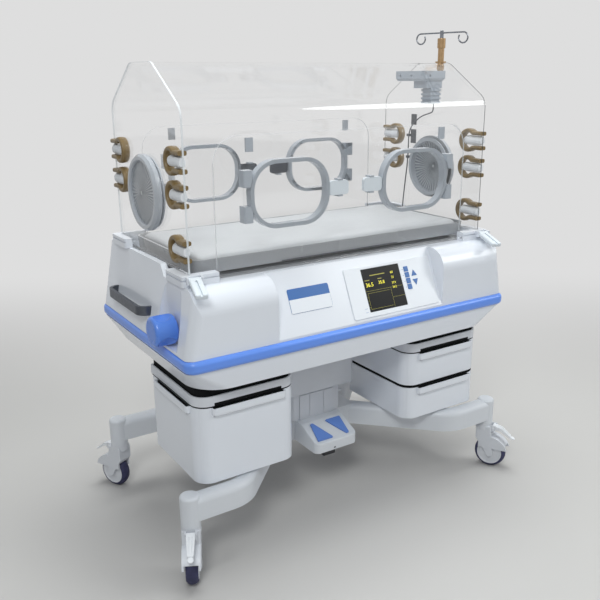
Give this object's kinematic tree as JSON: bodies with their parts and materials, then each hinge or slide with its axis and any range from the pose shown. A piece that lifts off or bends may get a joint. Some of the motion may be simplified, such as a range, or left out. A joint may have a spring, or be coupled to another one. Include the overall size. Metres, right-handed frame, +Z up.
{
  "type": "infant incubator",
  "caption": "Infant incubator: clear gabled hood with hand ports over a white body with a tilting mattress, on a lifting column with storage drawers and braked casters.",
  "frame": {"origin": "on the floor under the middle of the lifting column", "axes": "+X along the length towards the pole's end, -Y towards the side with the console, +Z up"},
  "size_m": [1.1706, 0.713, 1.365],
  "materials": {
    "shell_white": "moulded, satin",
    "case_grey": "moulded, fine grain",
    "frame_grey": "powder coat",
    "column_white": "powder coat",
    "fork_grey": "moulded",
    "tyre_navy": "dark tread on a light hub",
    "lever_white": "moulded",
    "blue_trim": "moulded, satin",
    "clear_hood": "clear cast sheet",
    "clear_door": "clear moulded",
    "port_grey": "moulded",
    "iris_clear": "thin pleated film in a ring",
    "grommet_brown": "silicone",
    "panel_white": "membrane face",
    "key_blue": "membrane",
    "screen": "lit display behind a window",
    "latch_white": "moulded",
    "latch_dark": "moulded",
    "pole_brass": "brushed",
    "hook_steel": "satin",
    "handle_dark": "moulded",
    "deck_white": "moulded",
    "tray_clear": "moulded",
    "mattress_cloth": "soft cover",
    "sensor_white": "moulded",
    "hose_white": "thin tube",
    "motor_metal": "cast",
    "fan_black": "moulded",
    "coil_steel": "bare",
    "cradle_steel": "bare"
  },
  "bodies": {
    "stand": {"base_frame": "frame_grey", "lower_column": "column_white", "pedal_housing": "frame_grey"},
    "lift": {"upper_column": "column_white", "lower_pan": "shell_white", "bumper": "blue_trim", "upper_shell": "shell_white", "main_deck": "deck_white", "fan_motor": "motor_metal", "heater": "coil_steel", "control_panel": "panel_white", "keypad": "key_blue", "display": "screen", "end_handles": "handle_dark", "drawer_cases": "case_grey", "hood": "clear_hood", "grommets": "grommet_brown", "sensor_head": "sensor_white", "probe_hose": "hose_white", "pole_tube": "pole_brass"},
    "pedal_up": {"pedal_raise": "blue_trim"},
    "pedal_down": {"pedal_lower": "blue_trim"},
    "fan": {"fan_impeller": "fan_black"},
    "knob_left": {"tilt_knob_left": "blue_trim"},
    "knob_right": {"tilt_knob_right": "blue_trim"},
    "lever_left": {"corner_lever_left": "latch_white"},
    "lever_right": {"corner_lever_right": "latch_white"},
    "drawer_l": {"drawer_left": "shell_white"},
    "drawer_ru": {"drawer_right_upper": "shell_white"},
    "drawer_rl": {"drawer_right_lower": "shell_white"},
    "hook": {"pole_hook": "hook_steel"},
    "iris_l": {"iris_left": "iris_clear"},
    "iris_r": {"iris_right": "iris_clear"},
    "panel_front": {"front_panel": "clear_hood", "port_frames_front": "port_grey"},
    "panel_rear": {"rear_panel": "clear_hood", "port_frames_rear": "port_grey"},
    "cradle": {"bed_cradle": "cradle_steel"},
    "bed": {"mattress_tray": "tray_clear", "mattress": "mattress_cloth"},
    "swivel_fl": {"caster_fork_fl": "fork_grey"},
    "wheel_fl": {"caster_wheel_fl": "tyre_navy"},
    "brake_fl": {"brake_lever_fl": "lever_white"},
    "swivel_fr": {"caster_fork_fr": "fork_grey"},
    "wheel_fr": {"caster_wheel_fr": "tyre_navy"},
    "brake_fr": {"brake_lever_fr": "lever_white"},
    "swivel_bl": {"caster_fork_bl": "fork_grey"},
    "wheel_bl": {"caster_wheel_bl": "tyre_navy"},
    "brake_bl": {"brake_lever_bl": "lever_white"},
    "swivel_br": {"caster_fork_br": "fork_grey"},
    "wheel_br": {"caster_wheel_br": "tyre_navy"},
    "brake_br": {"brake_lever_br": "lever_white"},
    "door_fl": {"port_door_fl": "clear_door"},
    "latch_fl": {"port_latch_fl": "latch_white"},
    "door_fr": {"port_door_fr": "clear_door"},
    "latch_fr": {"port_latch_fr": "latch_white"},
    "door_bl": {"port_door_bl": "clear_door"},
    "latch_bl": {"port_latch_bl": "latch_dark"},
    "door_br": {"port_door_br": "clear_door"},
    "latch_br": {"port_latch_br": "latch_dark"}
  },
  "joints": [
    {"name": "swivel_turn_fl", "type": "hinge", "parent": "stand", "child": "swivel_fl", "pos_m": [-0.525, -0.262, 0.17], "axis": [0, 0, 1], "continuous": true},
    {"name": "wheel_roll_fl", "type": "hinge", "parent": "swivel_fl", "child": "wheel_fl", "pos_m": [-0.5368, -0.28517, 0.05], "axis": [0.891, -0.454, 0], "continuous": true},
    {"name": "brake_press_fl", "type": "hinge", "parent": "swivel_fl", "child": "brake_fl", "pos_m": [-0.54044, -0.29229, 0.138], "axis": [0.891, -0.454, 0], "range_deg": [0, 20]},
    {"name": "swivel_turn_fr", "type": "hinge", "parent": "stand", "child": "swivel_fr", "pos_m": [0.525, -0.262, 0.17], "axis": [0, 0, 1], "continuous": true},
    {"name": "wheel_roll_fr", "type": "hinge", "parent": "swivel_fr", "child": "wheel_fr", "pos_m": [0.538, -0.28452, 0.05], "axis": [0.866, 0.5, 0], "continuous": true},
    {"name": "brake_press_fr", "type": "hinge", "parent": "swivel_fr", "child": "brake_fr", "pos_m": [0.542, -0.29145, 0.138], "axis": [0.866, 0.5, 0], "range_deg": [0, 20]},
    {"name": "swivel_turn_bl", "type": "hinge", "parent": "stand", "child": "swivel_bl", "pos_m": [-0.525, 0.262, 0.17], "axis": [0, 0, 1], "continuous": true},
    {"name": "wheel_roll_bl", "type": "hinge", "parent": "swivel_bl", "child": "wheel_bl", "pos_m": [-0.5364, 0.28537, 0.05], "axis": [-0.8988, -0.4384, 0], "continuous": true},
    {"name": "brake_press_bl", "type": "hinge", "parent": "swivel_bl", "child": "brake_bl", "pos_m": [-0.5399, 0.29256, 0.138], "axis": [-0.8988, -0.4384, 0], "range_deg": [0, 20]},
    {"name": "swivel_turn_br", "type": "hinge", "parent": "stand", "child": "swivel_br", "pos_m": [0.525, 0.262, 0.17], "axis": [0, 0, 1], "continuous": true},
    {"name": "wheel_roll_br", "type": "hinge", "parent": "swivel_br", "child": "wheel_br", "pos_m": [0.5326, 0.28686, 0.05], "axis": [-0.9563, 0.2924, 0], "continuous": true},
    {"name": "brake_press_br", "type": "hinge", "parent": "swivel_br", "child": "brake_br", "pos_m": [0.53494, 0.29451, 0.138], "axis": [-0.9563, 0.2924, 0], "range_deg": [0, 20]},
    {"name": "lift_height", "type": "slide", "parent": "stand", "child": "lift", "axis": [0, 0, 1], "range_m": [0, 0.2]},
    {"name": "pedal_raise_press", "type": "slide", "parent": "stand", "child": "pedal_up", "axis": [0, 0.3846, -0.9231], "range_m": [0, 0.003], "stiffness_N_per_m": 800, "springref_m": -0.002},
    {"name": "pedal_lower_press", "type": "slide", "parent": "stand", "child": "pedal_down", "axis": [0, 0.3846, -0.9231], "range_m": [0, 0.003], "stiffness_N_per_m": 800, "springref_m": -0.002},
    {"name": "fan_spin", "type": "hinge", "parent": "lift", "child": "fan", "pos_m": [0.27, 0.02, 0.692], "axis": [0, 0, 1], "continuous": true},
    {"name": "lever_lift_left", "type": "hinge", "parent": "lift", "child": "lever_left", "pos_m": [-0.474, -0.249, 0.78], "axis": [-0.9703, 0.2419, 0], "range_deg": [0, 60]},
    {"name": "lever_lift_right", "type": "hinge", "parent": "lift", "child": "lever_right", "pos_m": [0.474, -0.249, 0.78], "axis": [-0.9703, 0.2419, 0], "range_deg": [0, 60]},
    {"name": "drawer_left_slide", "type": "slide", "parent": "lift", "child": "drawer_l", "axis": [0, -1, 0], "range_m": [0, 0.2]},
    {"name": "drawer_right_upper_slide", "type": "slide", "parent": "lift", "child": "drawer_ru", "axis": [0, -1, 0], "range_m": [0, 0.2]},
    {"name": "drawer_right_lower_slide", "type": "slide", "parent": "lift", "child": "drawer_rl", "axis": [0, -1, 0], "range_m": [0, 0.2]},
    {"name": "hook_raise", "type": "slide", "parent": "lift", "child": "hook", "axis": [0, 0, 1], "range_m": [0, 0.06]},
    {"name": "iris_turn_left", "type": "hinge", "parent": "lift", "child": "iris_l", "pos_m": [-0.48, 0, 0.957], "axis": [-1, 0, 0], "range_deg": [0, 180]},
    {"name": "iris_turn_right", "type": "hinge", "parent": "lift", "child": "iris_r", "pos_m": [0.48, 0, 0.957], "axis": [1, 0, 0], "range_deg": [0, 180]},
    {"name": "panel_front_open", "type": "hinge", "parent": "lift", "child": "panel_front", "pos_m": [0, -0.232, 0.772], "axis": [1, 0, 0], "range_deg": [0, 95]},
    {"name": "panel_rear_open", "type": "hinge", "parent": "lift", "child": "panel_rear", "pos_m": [0, 0.232, 0.799], "axis": [-1, 0, 0], "range_deg": [0, 90]},
    {"name": "port_open_fl", "type": "hinge", "parent": "panel_front", "child": "door_fl", "pos_m": [-0.329, -0.244, 0.962], "axis": [0, 0, -1], "range_deg": [0, 160]},
    {"name": "latch_rock_fl", "type": "hinge", "parent": "panel_front", "child": "latch_fl", "pos_m": [-0.051, -0.239, 0.962], "axis": [0, 0, 1], "range_deg": [-8, 8], "stiffness_Nm_per_rad": 0.4},
    {"name": "port_open_fr", "type": "hinge", "parent": "panel_front", "child": "door_fr", "pos_m": [0.329, -0.244, 0.962], "axis": [0, 0, 1], "range_deg": [0, 160]},
    {"name": "latch_rock_fr", "type": "hinge", "parent": "panel_front", "child": "latch_fr", "pos_m": [0.051, -0.239, 0.962], "axis": [0, 0, 1], "range_deg": [-8, 8], "stiffness_Nm_per_rad": 0.4},
    {"name": "port_open_bl", "type": "hinge", "parent": "panel_rear", "child": "door_bl", "pos_m": [-0.329, 0.244, 0.962], "axis": [0, 0, 1], "range_deg": [0, 160]},
    {"name": "latch_rock_bl", "type": "hinge", "parent": "panel_rear", "child": "latch_bl", "pos_m": [-0.051, 0.239, 0.962], "axis": [0, 0, 1], "range_deg": [-8, 8], "stiffness_Nm_per_rad": 0.4},
    {"name": "port_open_br", "type": "hinge", "parent": "panel_rear", "child": "door_br", "pos_m": [0.329, 0.244, 0.962], "axis": [0, 0, -1], "range_deg": [0, 160]},
    {"name": "latch_rock_br", "type": "hinge", "parent": "panel_rear", "child": "latch_br", "pos_m": [0.051, 0.239, 0.962], "axis": [0, 0, 1], "range_deg": [-8, 8], "stiffness_Nm_per_rad": 0.4},
    {"name": "bed_tilt_right_up", "type": "hinge", "parent": "lift", "child": "cradle", "pos_m": [-0.428, 0, 0.7695], "axis": [0, -1, 0], "range_deg": [0, 10]},
    {"name": "bed_tilt_left_up", "type": "hinge", "parent": "cradle", "child": "bed", "pos_m": [0.428, 0, 0.7695], "axis": [0, 1, 0], "range_deg": [0, 10]},
    {"name": "knob_turn_left", "type": "hinge", "parent": "lift", "child": "knob_left", "pos_m": [-0.52, -0.172, 0.646], "axis": [-1, 0, 0], "range_deg": [0, 360]},
    {"name": "knob_turn_right", "type": "hinge", "parent": "lift", "child": "knob_right", "pos_m": [0.52, -0.172, 0.646], "axis": [1, 0, 0], "range_deg": [0, 360]}
  ],
  "couplings": [
    {"joint": "knob_turn_right", "follows": "bed_tilt_right_up", "ratio": 36},
    {"joint": "knob_turn_left", "follows": "bed_tilt_left_up", "ratio": 36}
  ]
}
